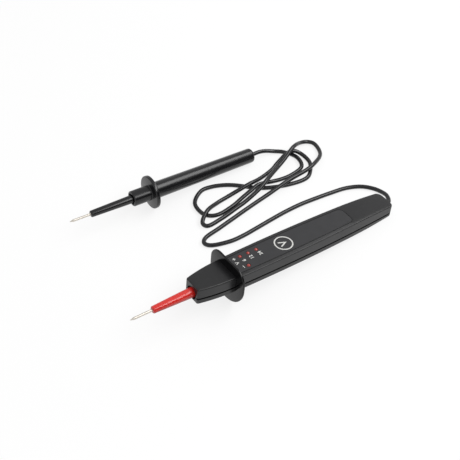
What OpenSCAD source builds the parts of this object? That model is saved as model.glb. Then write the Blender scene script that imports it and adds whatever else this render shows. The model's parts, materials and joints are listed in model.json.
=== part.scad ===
// Two-probe circuit test light: a slim tester with four lamps and a red-sleeved test pin,
// and a second probe with a bare pin, joined by one flexible cord. Both lie on a flat surface (z = 0).
// The tester lies along X, pin towards -X. Lengths along each probe are counted from its pin's point.

/* [Test pins] */
// Diameter of both pins
pin_d = 2; // [1.6:0.1:2.4]
// Diameter of each pin's root, inside its sleeve
pin_root_d = 1.6; // [1.4:0.1:1.7]
// Length of a pin's ground point
pin_point = 3; // [2:0.5:5]
// Width of the flat on the very point
pin_flat = 0.3; // [0.2:0.1:0.6]
// Bare length of the tester's pin
pin_out = 17.5; // [12:0.5:20]
// Bare length of the second probe's pin
ground_pin_out = 17.6; // [12:0.2:20]

/* [Red sleeve] */
// Length of the sleeve ahead of the nose
sleeve_out = 32.5; // [24:0.5:40]
// Sleeve diameter at its front
sleeve_front_d = 5.4; // [4.6:0.1:6]
// Sleeve diameter at the nose
sleeve_back_d = 7.8; // [7:0.1:8.4]
// Diameter of the collar that the nose holds
sleeve_collar_d = 10; // [9.4:0.1:10.6]
// Thickness of that collar
sleeve_collar_t = 2.4; // [1.6:0.1:3]

/* [Tester shell] */
// Length of the nose, from its front to the guard
nose_len = 30; // [26:1:36]
// Width of the nose at its front
nose_w = 15; // [14:0.5:16]
// Width of the neck that the guard sits on
neck_w = 22.6; // [22:0.1:23.6]
// Length of the body behind the guard
body_len = 153.4; // [146:0.2:164]
// Greatest width of the body
body_w = 25.2; // [24.6:0.2:28]
// Width the body would have at its end, before its corners are rounded
tail_w = 18; // [17:0.5:20]
// Distance from the guard to the widest place
belly_at = 48; // [40:1:56]
// Radius of the end's corners, seen from above
tail_corner_r = 5; // [4:0.5:6]
// Height of the flat top over the pin's axis
top_h = 8; // [7.6:0.1:9]
// Depth of the underside below the pin's axis
bottom_h = 6.1; // [5.8:0.1:7]
// Depth of the parting line below the pin's axis
parting_h = 1.4; // [1:0.1:1.8]
// Width of the slope between top and sides
shoulder_w = 2.8; // [2:0.1:3.4]
// Height of that slope
shoulder_h = 1.1; // [0.8:0.1:1.5]
// Length over which the end gets thinner
taper_len = 41; // [34:1:44]
// How far the top drops at the end
tail_drop = 1.8; // [1:0.1:2.2]
// How far the underside rises at the end
tail_rise = 1.5; // [1:0.1:2]
// Wall thickness
wall = 1.8; // [1.4:0.1:2.2]
// Width of the shadow gap along the parting line
groove_h = 0.7; // [0.4:0.1:1]
// Depth of the shadow gap
groove_depth = 0.5; // [0.3:0.1:0.8]

/* [Guard] */
// Radius of the guard's round lower half
guard_r = 19.9; // [18:0.1:22]
// Height of its flat top over the pin's axis
guard_top = 15.6; // [14:0.1:17]
// Radius of its two upper corners
guard_corner_r = 10; // [8:0.5:12]
// Thickness of the guard
guard_t = 1.6; // [1.4:0.1:2.4]
// Clearance of the guard on the neck
guard_gap = 0.15; // [0.1:0.05:0.25]

/* [Face and lamps] */
// Length of the label
label_len = 109; // [106:1:112]
// Distance from the guard to the label
label_at = 3; // [2:0.5:5]
// Thickness of the label, which is sunk flush
label_t = 0.25; // [0.2:0.05:0.4]
// Bare margin between the label and the top's edge
label_margin = 0.5; // [0.3:0.1:1]
// Lamp diameter
led_d = 3; // [2.8:0.1:3.2]
// How far a lamp stands out of the face
led_out = 0.6; // [0.4:0.1:1]
// Distance from the guard to the first lamps
led_at = 13.4; // [12:0.2:16]
// Distance between the lamps of the voltage row
led_pitch = 7.3; // [6.6:0.1:8]
// Distance of each row of lamps from the body's edge at its widest
led_edge = 7.3; // [6.8:0.1:7.8]

/* [Circuit] */
// Distance from the circuit board to the body's end
board_tail = 38.4; // [36:0.2:44]
// Width of the circuit board
board_w = 16; // [15:0.5:17]
// Thickness of the circuit board
board_t = 1.6; // [1.4:0.1:2]
// Distance from the guard to the board
board_at = 5; // [4:0.5:7]
// Diameter of a resistor's body
resistor_d = 2.4; // [2:0.1:2.8]
// Length of a resistor's body
resistor_len = 6.4; // [5.6:0.2:7]
// Diameter of a diode's body
diode_d = 1.9; // [1.6:0.1:2.2]
// Length of a diode's body
diode_len = 4; // [3.4:0.2:4.6]
// Diameter of the component leads
lead_d = 0.6; // [0.5:0.05:0.8]

/* [Screws] */
// Thread diameter of the shell screws
screw_d = 2.4; // [2.2:0.1:2.8]
// Head diameter
screw_head_d = 4.4; // [4:0.1:4.8]
// Head thickness
screw_head_t = 1.3; // [1.1:0.1:1.5]
// Distance from the guard to the middle screw
screw_mid_at = 62; // [56:1:66]
// Distance from the circuit board's end to the two rear screws
screw_rear_gap = 8; // [7:0.5:10]
// Distance of the rear screws from the middle
screw_rear_side = 5.4; // [5:0.1:5.8]

/* [Cord] */
// Outer diameter of the cord
cord_d = 3.5; // [3:0.1:3.6]
// Diameter of the copper core
core_d = 1.2; // [1:0.1:1.5]
// Height of the cord's exit over the pin's axis
cord_exit_h = 0.5; // [0.2:0.1:0.8]
// Diameter of the rubber bush at the tester's end
bush_d = 6.4; // [5.8:0.1:6.8]
// How far the bush stands out of the shell
bush_out = 2.5; // [2:0.1:3]
// Diameter of the bush's inner collar
bush_collar_d = 8; // [7.4:0.1:8.2]

/* [Second probe] */
// Length of the black sleeve ahead of the handle
ground_sleeve_out = 36; // [30:0.5:42]
// Diameter of the black sleeve at its front
ground_sleeve_front_d = 5.4; // [4.8:0.1:6]
// Diameter of the black sleeve at the handle
ground_sleeve_back_d = 6.8; // [6.2:0.1:7.4]
// Length of the round boss ahead of the flange
boss_len = 16.4; // [14:0.2:20]
// Diameter of that boss
probe_boss_d = 12.6; // [12:0.1:13.4]
// Radius of the flange
flange_r = 13.6; // [12.6:0.1:15]
// Thickness of the flange
flange_t = 2.4; // [2:0.1:3]
// Length of the grip behind the flange
grip_len = 98.6; // [92:0.2:104]
// Diameter of the grip at the flange
grip_front_d = 13.6; // [13:0.1:14.4]
// Diameter of the grip at its end
grip_back_d = 12.2; // [11.6:0.1:12.8]
// Chamfer at the grip's end
grip_chamfer = 1; // [0.6:0.1:1.6]
// Diameter of the grip's hollow
grip_hollow_d = 8; // [7.6:0.1:8.6]
// Diameter of the recess round the sleeve
boss_recess_d = 9.4; // [9:0.1:10]
// Depth of that recess
boss_recess = 1.2; // [0.8:0.1:2]

/* [How the probes lie] */
// Overall width of the two probes side by side
layout_w = 147; // [144:0.5:152]
// How far the second probe's point lies behind the tester's point
probe_lag = 16.4; // [12:0.2:20]
// Angle between the two probes, seen from above
probe_yaw = 2.2; // [1:0.1:3]

/* [Hidden] */

$fn = 64;
eps = 0.01;             // how far a cutting tool runs past the face it cuts
bore_gap = 0.05;        // clearance of turned pieces in their bores
shell_black = "#232325";
gloss_black = "#151517";
cord_black = "#1b1b1c";
board_green = "#2f6a3c";
nickel = "#c9c9cc";
copper = "#b8733f";

// Places along the tester
nose_s = pin_out + sleeve_out;
guard_s = nose_s + nose_len;
neck_end_s = guard_s + guard_t;
body_s = neck_end_s + guard_gap;
end_s = body_s + body_len;
bush_end_s = end_s + bush_out;
taper_s = end_s - taper_len;
belly_s = body_s + belly_at;

// Places of the board and of what stands on it
board_s = body_s + board_at;
board_end_s = end_s - board_tail;
board_len = board_end_s - board_s;
board_top = -pin_root_d / 2;
label_s = body_s + label_at;
led_side = body_w / 2 - led_edge;
screw_mid_s = body_s + screw_mid_at;
screw_rear_s = board_end_s + screw_rear_gap;
cord_inside = 22;       // length of the cord inside the tester
cord_in_s = end_s - cord_inside;

// How the tester rests: on the guard's rear rim and on the underside's rear edge
end_bevel = 0.8;
tail_rest_s = end_s - end_bevel;
function low(s) = -bottom_h + tail_rise * taper(s);
function high(s) = top_h - tail_drop * taper(s);
function taper(s) = s > taper_s ? pow((s - taper_s) / taper_len, 2) : 0;
tester_pitch = atan((guard_r + low(tail_rest_s)) / (tail_rest_s - neck_end_s));
tester_z = neck_end_s * sin(tester_pitch) + guard_r * cos(tester_pitch);
tester_x = -(bush_end_s * cos(tester_pitch) + (cord_exit_h + bush_d / 2) * sin(tester_pitch)) / 2;
tester_y = guard_r - layout_w / 2;

// Places along the second probe, and how it rests: on the flange and on the grip's end
boss_s = ground_pin_out + ground_sleeve_out;
flange_s = boss_s + boss_len;
grip_s = flange_s + flange_t;
grip_end_s = grip_s + grip_len;
grip_rest_s = grip_end_s - grip_chamfer;
probe_pitch = atan((flange_r - grip_back_d / 2) / (grip_rest_s - grip_s));
probe_z = grip_s * sin(probe_pitch) + flange_r * cos(probe_pitch);
probe_x = tester_x + probe_lag;
probe_y = layout_w / 2 - flange_r + flange_s * cos(probe_pitch) * sin(probe_yaw);

module tester_place() {
    translate([tester_x, tester_y, tester_z]) rotate([0, tester_pitch, 0]) children();
}
module probe_place() {
    translate([probe_x, probe_y, probe_z]) rotate([0, probe_pitch, -probe_yaw]) children();
}

// A solid of revolution along X: its outline is given as [distance along X, radius]
module turned(outline) { rotate([0, 90, 0]) rotate_extrude() polygon([for (p = outline) [p[1], p[0]]]); }
module bar(s0, s1, d) { translate([s0, 0, 0]) rotate([0, 90, 0]) cylinder(h = s1 - s0, d = d); }
module post(s, side, z0, z1, d) { translate([s, side, z0]) cylinder(h = z1 - z0, d = d); }

// ---- Outer form of the shell: lofts through cross-sections along the tester ----

// Half the width at a distance s from the pin's point, of the nose and neck, and of the body
function nose_half(s) = nose_w / 2 + (neck_w - nose_w) / 2 * min(1, (s - nose_s) / nose_len);
function body_half(s) = body_w / 2 - (body_w - tail_w) / 2 * pow((s - belly_s) / (end_s - belly_s), 2)
    - corner_cut(s - end_s + tail_corner_r);
function corner_cut(d) = d > 0 ? tail_corner_r - sqrt(max(0, pow(tail_corner_r, 2) - d * d)) : 0;

// Stations along the shell: [distance from the point, how far the cross-section is drawn in there]
nose_bevel = 1;
body_steps = 12;
corner_angles = [20, 40, 60];
nose_stations = [[nose_s, nose_bevel], [nose_s + nose_bevel, 0], [guard_s, 0], [body_s, 0]];
body_stations = concat(
    [for (i = [0 : body_steps]) [body_s + (body_len - tail_corner_r) * i / body_steps, 0]],
    [for (a = corner_angles) [end_s - tail_corner_r * (1 - sin(a)), 0]],
    [[end_s, end_bevel]]);

// Right half of a cross-section, from the parting line over the shoulder to the top
shoulder_angles = [0, 35, 65, 90];
function upper_half(w, t) = concat([[w, -parting_h]], [for (a = shoulder_angles)
    [w - shoulder_w * (1 - cos(a)), t - shoulder_h * (1 - sin(a))]]);
// Right half from the underside's bevel up to the shadow gap under the parting line
bottom_bevel = 1.2;
function lower_half(w, b) = [[w - bottom_bevel, b], [w, b + bottom_bevel], [w, -parting_h - groove_h],
    [w - groove_depth, -parting_h - groove_h], [w - groove_depth, -parting_h]];
function box_half(w, z0, z1) = [[w, z0], [w, z1]];
// A half cross-section and its mirror image, as one ring of points at distance s
function ring(s, half) = concat([for (p = half) [s, -p[0], p[1]]],
    [for (i = [len(half) - 1 : -1 : 0]) [s, half[i][0], half[i][1]]]);

// A closed solid through rings that all have the same number of points
module loft(rings) {
    n = len(rings[0]);
    last = len(rings) - 1;
    polyhedron(
        points = [for (r = rings) each r],
        faces = concat(
            [for (i = [0 : last - 1]) for (j = [0 : n - 1])
                [i * n + j, i * n + (j + 1) % n, (i + 1) * n + j]],
            [for (i = [0 : last - 1]) for (j = [0 : n - 1])
                [i * n + (j + 1) % n, (i + 1) * n + (j + 1) % n, (i + 1) * n + j]],
            [[for (j = [n - 1 : -1 : 0]) j]],
            [[for (j = [0 : n - 1]) last * n + j]]));
}

// ---- Inside of the shell ----
block_len = 10;         // solid length of the nose round the sleeve
end_block = 8;          // solid length of the end round the bush
collar_at = 3;          // wall ahead of the sleeve's collar, and behind the bush's
boss_d = screw_d + 3;   // bosses round the screws
cavity_s = nose_s + block_len;
cavity_end_s = end_s - end_block;
cavity_steps = 10;
nose_cavity = [cavity_s, guard_s, body_s + wall];
body_cavity = [for (i = [0 : cavity_steps])
    body_s + wall + (cavity_end_s - body_s - wall) * i / cavity_steps];
boss_places = [[screw_mid_s, 0], [screw_rear_s, screw_rear_side], [screw_rear_s, -screw_rear_side]];
led_places = [[led_at, led_side], [led_at + led_pitch, led_side], [led_at + 2 * led_pitch, led_side],
              [led_at, -led_side]];

// The hollow between two heights, given as functions of the place
module cavity(top, bottom) {
    loft([for (s = nose_cavity) ring(s, box_half(nose_half(s) - wall,
        bottom ? low(s) + wall : -parting_h - eps, top ? high(s) - wall : -parting_h + eps))]);
    loft([for (s = body_cavity) ring(s, box_half(body_half(s) - wall,
        bottom ? low(s) + wall : -parting_h - eps, top ? high(s) - wall : -parting_h + eps))]);
}

// What both half shells leave open for the sleeve, the pin and the bush with its cord
module turned_pockets() {
    bar(nose_s - eps, nose_s + collar_at + eps, sleeve_back_d + 2 * bore_gap);
    bar(nose_s + collar_at, nose_s + collar_at + sleeve_collar_t + bore_gap, sleeve_collar_d + 2 * bore_gap);
    bar(nose_s + collar_at + sleeve_collar_t, cavity_s + eps, pin_root_d + 2 * bore_gap);
    translate([0, 0, cord_exit_h]) {
        bar(end_s - collar_at - eps, end_s + eps, bush_d + 2 * bore_gap);
        bar(end_s - collar_at - bush_collar_t - bore_gap, end_s - collar_at, bush_collar_d + 2 * bore_gap);
        bar(cavity_end_s - eps, end_s - collar_at - bush_collar_t, cord_d + 2 * bore_gap);
    }
}

module upper_shell() {
    color(shell_black) tester_place() difference() {
        union() {
            difference() {
                union() {
                    loft([for (n = nose_stations)
                        ring(n[0], upper_half(nose_half(n[0]) - n[1], top_h - n[1]))]);
                    loft([for (n = body_stations)
                        ring(n[0], upper_half(body_half(n[0]) - n[1], high(n[0]) - n[1]))]);
                }
                cavity(true, false);
            }
            for (p = boss_places) post(p[0], p[1], -parting_h, high(p[0]) - wall / 2, boss_d);
        }
        turned_pockets();
        for (p = boss_places) post(p[0], p[1], -parting_h - eps, high(p[0]) - wall, screw_d);
        for (p = led_places) post(body_s + p[0], p[1], top_h - 2 * wall, top_h + eps, led_d + 2 * bore_gap);
        translate([0, 0, top_h - label_t]) linear_extrude(label_t + eps) label_outline(label_gap);
    }
}

module lower_shell() {
    color(shell_black) tester_place() difference() {
        union() {
            difference() {
                union() {
                    loft([for (n = nose_stations)
                        ring(n[0], lower_half(nose_half(n[0]) - n[1], n[1] - bottom_h))]);
                    loft([for (n = body_stations)
                        ring(n[0], lower_half(body_half(n[0]) - n[1], low(n[0]) + n[1]))]);
                }
                cavity(false, true);
            }
            for (p = boss_places) post(p[0], p[1], low(p[0]) + wall / 2, -parting_h, boss_d);
            for (s = [board_s + rest_inset, board_end_s - rest_inset]) for (side = [-1, 1])
                post(s, side * board_w / 3, low(s) + wall / 2, board_top - board_t, rest_d);
        }
        turned_pockets();
        for (p = boss_places) {
            post(p[0], p[1], low(p[0]) - eps, -parting_h + eps, screw_d + 4 * bore_gap);
            post(p[0], p[1], low(p[0]) - bottom_h, low(p[0]) + head_sink, screw_head_d + 4 * bore_gap);
        }
    }
}

// ---- Guard ring on the neck: round below, with a flat top and two rounded corners ----
module guard_outline() {
    corner = [guard_r - guard_corner_r, guard_top - guard_corner_r];
    intersection() {
        circle(guard_r);
        translate([-guard_r, -guard_r]) square([2 * guard_r, guard_r]);
    }
    translate([-guard_r, 0]) square([2 * guard_r, corner[1]]);
    translate([-corner[0], 0]) square([2 * corner[0], guard_top]);
    for (side = [-1, 1]) translate([side * corner[0], corner[1]]) circle(guard_corner_r);
}
function neck_outline(gap) =
    let (half = concat(lower_neck(gap), upper_half(neck_w / 2 + gap, top_h + gap)))
    concat(half, [for (i = [len(half) - 1 : -1 : 0]) [-half[i][0], half[i][1]]]);
function lower_neck(gap) = [[neck_w / 2 + gap - bottom_bevel, -bottom_h - gap],
    [neck_w / 2 + gap, -bottom_h - gap + bottom_bevel]];
module finger_guard() {
    color(gloss_black) tester_place() translate([guard_s, 0, 0]) rotate([90, 0, 90])
        linear_extrude(guard_t) difference() {
            guard_outline();
            polygon(neck_outline(guard_gap));
        }
}

// ---- Label: follows the top's edges, with round rear corners ----
label_gap = 0.1;
label_steps = 8;
label_corner_r = 4;
label_corner_steps = 4;
function label_half(s) = body_half(s) - shoulder_w - label_margin;
module label_outline(gap) {
    s1 = label_s + label_len;
    side = concat(
        [for (i = [0 : label_steps]) let (s = label_s + (label_len - label_corner_r) * i / label_steps)
            [i == 0 ? s - gap : s, label_half(s) + gap]],
        [for (i = [1 : label_corner_steps]) let (a = 90 * i / label_corner_steps)
            [s1 - label_corner_r + (label_corner_r + gap) * sin(a),
             label_half(s1) - label_corner_r + (label_corner_r + gap) * cos(a)]]);
    polygon(concat(side, [for (i = [len(side) - 1 : -1 : 0]) [side[i][0], -side[i][1]]]));
}
module face_label() {
    color("#2b2b2e") tester_place() difference() {
        translate([0, 0, top_h - label_t]) linear_extrude(label_t) label_outline(0);
        for (p = led_places) post(body_s + p[0], p[1], top_h - wall, top_h + eps, led_d + 2 * bore_gap);
    }
}

// ---- Lamps: a clear red body with a domed end, a rim at its foot, and two legs down to the board ----
led_foot = 3.4;         // height of a lamp's foot over the pin's axis
led_rim = 0.4;          // how far the rim stands out round the foot
led_leg_side = 0.9;     // distance of each leg from the lamp's axis
module led(i) {
    dome_z = top_h + led_out - led_d / 2;
    color("#c03028") tester_place() translate([body_s + led_places[i][0], led_places[i][1], 0]) {
        translate([0, 0, led_foot]) cylinder(h = dome_z - led_foot, d = led_d);
        translate([0, 0, led_foot]) cylinder(h = 2 * led_rim, d = led_d + 2 * led_rim);
        translate([0, 0, dome_z]) sphere(d = led_d);
        for (side = [-1, 1]) translate([side * led_leg_side, 0, board_top])
            cylinder(h = led_foot - board_top + eps, d = lead_d);
    }
}
module led_6v() { led(0); }
module led_12v() { led(1); }
module led_24v() { led(2); }
module led_polarity() { led(3); }

// ---- Circuit board and its parts ----
rest_inset = 8;         // the board's four rests lie this far inside its ends
rest_d = 2.4;
boss_gap = 0.5;         // clearance of the board's hole round the middle screw's boss
module circuit_board() {
    color(board_green) tester_place() difference() {
        translate([board_s, -board_w / 2, board_top - board_t]) cube([board_len, board_w, board_t]);
        post(screw_mid_s, 0, board_top - board_t - eps, board_top + eps, boss_d + 2 * boss_gap);
    }
}
// A wired part lies just clear of the board, on leads bent down at both ends
lead_reach = 1.6;
resistor_at = [40, 78]; // places behind the body's shoulder, a pair side by side at each
diode_at = [52, 92];
module wired_part(s, side, d, len) {
    z = board_top + lead_d / 2 + d / 2;
    translate([s, side, 0]) {
        translate([0, 0, z]) {
            bar(-len / 2, len / 2, d);
            bar(-len / 2 - lead_reach, len / 2 + lead_reach, lead_d);
        }
        for (end = [-1, 1]) post(end * (len / 2 + lead_reach), 0, board_top, z, lead_d);
    }
}
module resistors() {
    color("#c8b48a") tester_place() for (at = resistor_at) for (side = [-1, 1])
        wired_part(body_s + at, side * board_w * 0.3, resistor_d, resistor_len);
}
module diodes() {
    color("#b0553a") tester_place() for (at = diode_at) for (side = [-1, 1])
        wired_part(body_s + at, side * board_w * 0.3, diode_d, diode_len);
}

// ---- Pin and sleeve of the tester ----
pin_on_board = 8;       // length of the pin that is soldered on the board
sleeve_nose = 1;        // the sleeve's front is rounded over this length
function pin_outline(out, back) = [[0, 0], [0, pin_flat / 2], [pin_point, pin_d / 2], [out, pin_d / 2],
    [out, pin_root_d / 2], [back, pin_root_d / 2], [back, 0]];
module test_pin() {
    s1 = board_s + pin_on_board;
    color(nickel) tester_place() turned(pin_outline(pin_out, s1));
}
module test_sleeve() {
    s1 = nose_s + collar_at;
    r = sleeve_back_d / 2;
    color("#c4202e") tester_place() turned([[pin_out, pin_root_d / 2],
        [pin_out, sleeve_front_d / 2 - sleeve_nose],
        [pin_out + 0.3 * sleeve_nose, sleeve_front_d / 2 - 0.3 * sleeve_nose],
        [pin_out + sleeve_nose, sleeve_front_d / 2], [nose_s, r], [s1, r], [s1, sleeve_collar_d / 2],
        [s1 + sleeve_collar_t, sleeve_collar_d / 2], [s1 + sleeve_collar_t, pin_root_d / 2]]);
}

// ---- Screws, driven in from the underside ----
head_sink = 1.6;        // the heads lie this deep in the underside
slot_w = 0.6;           // width of the cross slot
slot_depth = 0.6;
screw_top = 3;          // the screws end this far below the top
module shell_screws() {
    color(nickel) tester_place() for (p = boss_places) {
        z = low(p[0]) + head_sink;
        post(p[0], p[1], z - eps, high(p[0]) - screw_top, screw_d);
        difference() {
            post(p[0], p[1], z - screw_head_t, z, screw_head_d);
            translate([p[0], p[1], z - screw_head_t]) {
                cube([screw_head_d * 0.6, slot_w, 2 * slot_depth], center = true);
                cube([slot_w, screw_head_d * 0.6, 2 * slot_depth], center = true);
            }
        }
    }
}

// ---- Cord inside the tester ----
bush_collar_t = 2.4;
bush_bevel = 0.6;
core_on_board = 5;      // length of the core that is soldered on the board
module cord_bush() {
    s0 = end_s - collar_at - bush_collar_t;
    color(cord_black) tester_place() translate([0, 0, cord_exit_h]) turned([[s0, cord_d / 2],
        [s0, bush_collar_d / 2], [end_s - collar_at, bush_collar_d / 2], [end_s - collar_at, bush_d / 2],
        [bush_end_s - bush_bevel, bush_d / 2], [bush_end_s, bush_d / 2 - bush_bevel],
        [bush_end_s, cord_d / 2]]);
}
module tester_cord_end() {
    color(cord_black) tester_place() translate([0, 0, cord_exit_h]) bar(cord_in_s, bush_end_s, cord_d);
}
// The core runs straight from the cord's stripped end down to the board, where it is soldered
module tester_core() {
    s1 = board_end_s - core_on_board;
    z = board_top + core_d / 2;
    steep = atan((cord_exit_h - z) / (cord_in_s - s1));
    color(copper) tester_place() translate([s1, 0, z]) rotate([0, -steep, 0])
        bar(0, (cord_in_s - s1) / cos(steep), core_d);
}

// ---- Second probe ----
plug_len = 14;          // the black sleeve's plug inside the handle
cup_len = 8;            // brass cup that joins pin and cord
cup_d = 3.6;
boss_bevel = 0.8;
flange_bevel = 0.5;
end_wall = 6;           // thickness of the grip's end round the cord
plug_s = boss_s + boss_recess;
cup_s = plug_s + plug_len;
bare_core = 12;         // length of the bare core between the cup and the cord
probe_cord_s = cup_s + cup_len + bare_core;
module probe_handle() {
    hollow_end = grip_end_s - end_wall;
    color(shell_black) probe_place() difference() {
        turned([[boss_s, 0], [boss_s, probe_boss_d / 2 - boss_bevel], [boss_s + boss_bevel, probe_boss_d / 2],
            [flange_s, probe_boss_d / 2], [flange_s, flange_r - flange_bevel],
            [flange_s + flange_bevel, flange_r], [grip_s - flange_bevel, flange_r],
            [grip_s, flange_r - flange_bevel], [grip_s, grip_front_d / 2],
            [grip_end_s - grip_chamfer, grip_back_d / 2], [grip_end_s, grip_back_d / 2 - grip_chamfer],
            [grip_end_s, 0]]);
        bar(boss_s - eps, plug_s, boss_recess_d);
        bar(plug_s - eps, hollow_end, grip_hollow_d);
        bar(hollow_end - eps, grip_end_s + eps, cord_d + 2 * bore_gap);
    }
}
module probe_sleeve() {
    r = grip_hollow_d / 2;
    color(gloss_black) probe_place() turned([[ground_pin_out, pin_root_d / 2],
        [ground_pin_out, ground_sleeve_front_d / 2 - sleeve_nose],
        [ground_pin_out + 0.3 * sleeve_nose, ground_sleeve_front_d / 2 - 0.3 * sleeve_nose],
        [ground_pin_out + sleeve_nose, ground_sleeve_front_d / 2], [boss_s, ground_sleeve_back_d / 2],
        [plug_s, ground_sleeve_back_d / 2], [plug_s, r], [cup_s, r], [cup_s, pin_root_d / 2]]);
}
module probe_pin() {
    s1 = cup_s + cup_len / 2;
    color(nickel) probe_place() turned(pin_outline(ground_pin_out, s1));
}
module probe_solder_cup() {
    color("#b59a55") probe_place() difference() {
        bar(cup_s, cup_s + cup_len, cup_d);
        bar(cup_s - eps, cup_s + cup_len / 2, pin_root_d);
        bar(cup_s + cup_len / 2 - eps, cup_s + cup_len + eps, core_d);
    }
}
module probe_core() {
    color(copper) probe_place() bar(cup_s + cup_len / 2, probe_cord_s, core_d);
}
module probe_cord_end() {
    color(cord_black) probe_place() bar(probe_cord_s, grip_end_s, cord_d);
}

// ---- The free cord, from the handle's end to the tester's bush ----
// Its route lies on the surface, in two loops, and passes over itself in low humps.
function axis(pitch, yaw) = [cos(pitch) * cos(yaw), -cos(pitch) * sin(yaw), -sin(pitch)];
function tester_point(s, h) = [tester_x + s * cos(tester_pitch) + h * sin(tester_pitch), tester_y,
    tester_z - s * sin(tester_pitch) + h * cos(tester_pitch)];
probe_axis = axis(probe_pitch, probe_yaw);
tester_axis = axis(tester_pitch, 0);
probe_exit = [probe_x, probe_y, probe_z] + grip_end_s * probe_axis;
tester_exit = tester_point(bush_end_s, cord_exit_h);
lay = 1.8;              // height of the cord's middle where it lies flat
over = 5.4;             // the same where it passes over another strand
free_route = [
    [80, 55, 4], [87, 52, 2.2], [92.5, 47.5, lay], [97.7, 35.5, lay], [93.5, 23.5, lay], [80, 20.2, lay],
    [70, 21, lay], [62, 22.8, 2.2], [48, 23.5, 5.5], [40, 22.3, 4.6], [31, 21.2, 2.8], [20, 18.8, lay],
    [5, 17.2, lay], [-1.5, 19.6, lay], [-5.3, 25, lay], [-3.8, 39, lay], [9, 48.2, lay], [18, 47.3, lay],
    [27, 43.3, lay], [34, 38.2, lay], [46, 25.8, lay], [52, 20.8, lay], [67, 13.5, lay], [84, 9.6, lay],
    [91, 11, lay], [101.5, 22, lay], [103.5, 29.5, lay], [102.4, 36, 3], [99, 39.7, 5], [94, 41.3, over],
    [80, 38.6, 2.4], [71, 35, lay], [53, 30, 3.8], [43, 28.6, over], [21, 29.6, 2], [11, 28.3, 2.4],
    [-3.7, 22.4, over], [-12, 16, 2.3], [-10.6, 12, lay], [3, 12.1, lay], [21, 15.1, lay],
    [30, 16.2, 2.6], [47, 18.3, 7.2], [55, 21.5, 8.2], [69, 28.7, 6.2], [77, 32.4, 5.6], [85, 35.4, 6.8],
    [98, 40.8, 9.1], [111.5, 46.7, 3.4], [117.5, 45.7, 2], [120.8, 41, lay], [116.5, 27, 2],
    [101, 16.9, over], [92, 14.9, 5.2], [80, 14.2, 5], [69, 13, over], [49, 11.8, 2.8], [37, 10.9, lay],
    [23, 8.8, lay], [9, 6.5, lay], [-4, 4.4, lay], [-19.8, 1.6, lay], [-23, -2.2, lay],
    [-20.8, -6.6, lay], [-6, -12.2, lay], [5, -13.2, lay], [19, -12.7, lay], [34, -11.9, lay],
    [49, -11.4, lay], [64, -11.9, lay], [78, -13.6, lay], [92, -15.8, lay], [106, -18.8, lay],
    [117, -24.6, lay], [123.5, -32.5, lay], [125.4, -40, 2.6], [124.6, -46.5, 4]];
start_len = 1.5 * cord_d;
turn_len = 0.8 * cord_d;
route = concat([probe_exit, probe_exit + start_len * probe_axis], free_route,
    [tester_exit + turn_len * (tester_axis + [0, 0.3, 0]), tester_exit]);
route_end = len(route) - 1;
function unit(v) = v / norm(v);
function heading(i) = i == 0 ? probe_axis : i == route_end ? -tester_axis : unit(route[i + 1] - route[i - 1]);
cord_sides = 8;
function cord_ring(i) =
    let (side = unit(cross(heading(i), [0, 0, 1])), up = cross(side, heading(i)))
    [for (k = [0 : cord_sides - 1]) let (a = 360 * k / cord_sides)
        route[i] + cord_d / 2 * (cos(a) * side + sin(a) * up)];
module test_cord() { color(cord_black) loft([for (i = [0 : route_end]) cord_ring(i)]); }

upper_shell();
lower_shell();
finger_guard();
face_label();
led_6v();
led_12v();
led_24v();
led_polarity();
circuit_board();
resistors();
diodes();
test_pin();
test_sleeve();
shell_screws();
cord_bush();
tester_cord_end();
tester_core();
probe_handle();
probe_sleeve();
probe_pin();
probe_solder_cup();
probe_cord_end();
probe_core();
test_cord();
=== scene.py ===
# %% [markdown]
# # A two-probe circuit test light
# One pin goes to earth and the other to a wire, and a lamp on the face shows about how many volts
# are there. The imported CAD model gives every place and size. Around it this lesson builds what the
# eye sees: two moulded half shells, a polished guard, a film label with lamps, two plated pins in
# their sleeves, and nearly a metre of thin flexible cord.

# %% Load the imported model
import json
import math
import bmesh
import bpy
from mathutils import Matrix, Quaternion, Vector


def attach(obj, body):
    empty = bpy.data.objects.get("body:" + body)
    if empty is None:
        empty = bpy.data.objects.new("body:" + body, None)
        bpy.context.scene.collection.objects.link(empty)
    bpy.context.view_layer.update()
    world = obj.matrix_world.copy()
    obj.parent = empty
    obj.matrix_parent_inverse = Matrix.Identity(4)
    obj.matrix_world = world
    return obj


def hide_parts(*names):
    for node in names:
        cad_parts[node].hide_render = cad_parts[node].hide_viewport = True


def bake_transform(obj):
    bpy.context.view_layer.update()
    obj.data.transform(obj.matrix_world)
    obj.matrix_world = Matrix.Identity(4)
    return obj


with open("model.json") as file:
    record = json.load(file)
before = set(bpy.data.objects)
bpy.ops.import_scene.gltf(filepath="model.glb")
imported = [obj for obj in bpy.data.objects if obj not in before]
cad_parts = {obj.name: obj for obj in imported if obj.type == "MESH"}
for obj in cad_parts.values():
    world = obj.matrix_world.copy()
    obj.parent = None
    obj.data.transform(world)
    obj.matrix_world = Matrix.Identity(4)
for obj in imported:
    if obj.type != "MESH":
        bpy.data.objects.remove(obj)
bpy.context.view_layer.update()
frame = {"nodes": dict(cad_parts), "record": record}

# %% [markdown]
# ## Two frames to work in
# Both probes lie tilted: the tester rests on its guard, the second probe on its flange. Modelling a
# tilted thing is awkward, so each probe is built straight, in millimetres counted from its pin's
# point, and one matrix lays the finished mesh in its place. The record's pin mounts say where that is.

# %% Local frames of the two probes
MM = 0.001
PIN_POINT = 3.0          # length of each pin's ground point
PIN_OUT = 17.5           # bare length of the tester's pin
GROUND_PIN_OUT = 17.6    # bare length of the second probe's pin


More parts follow.
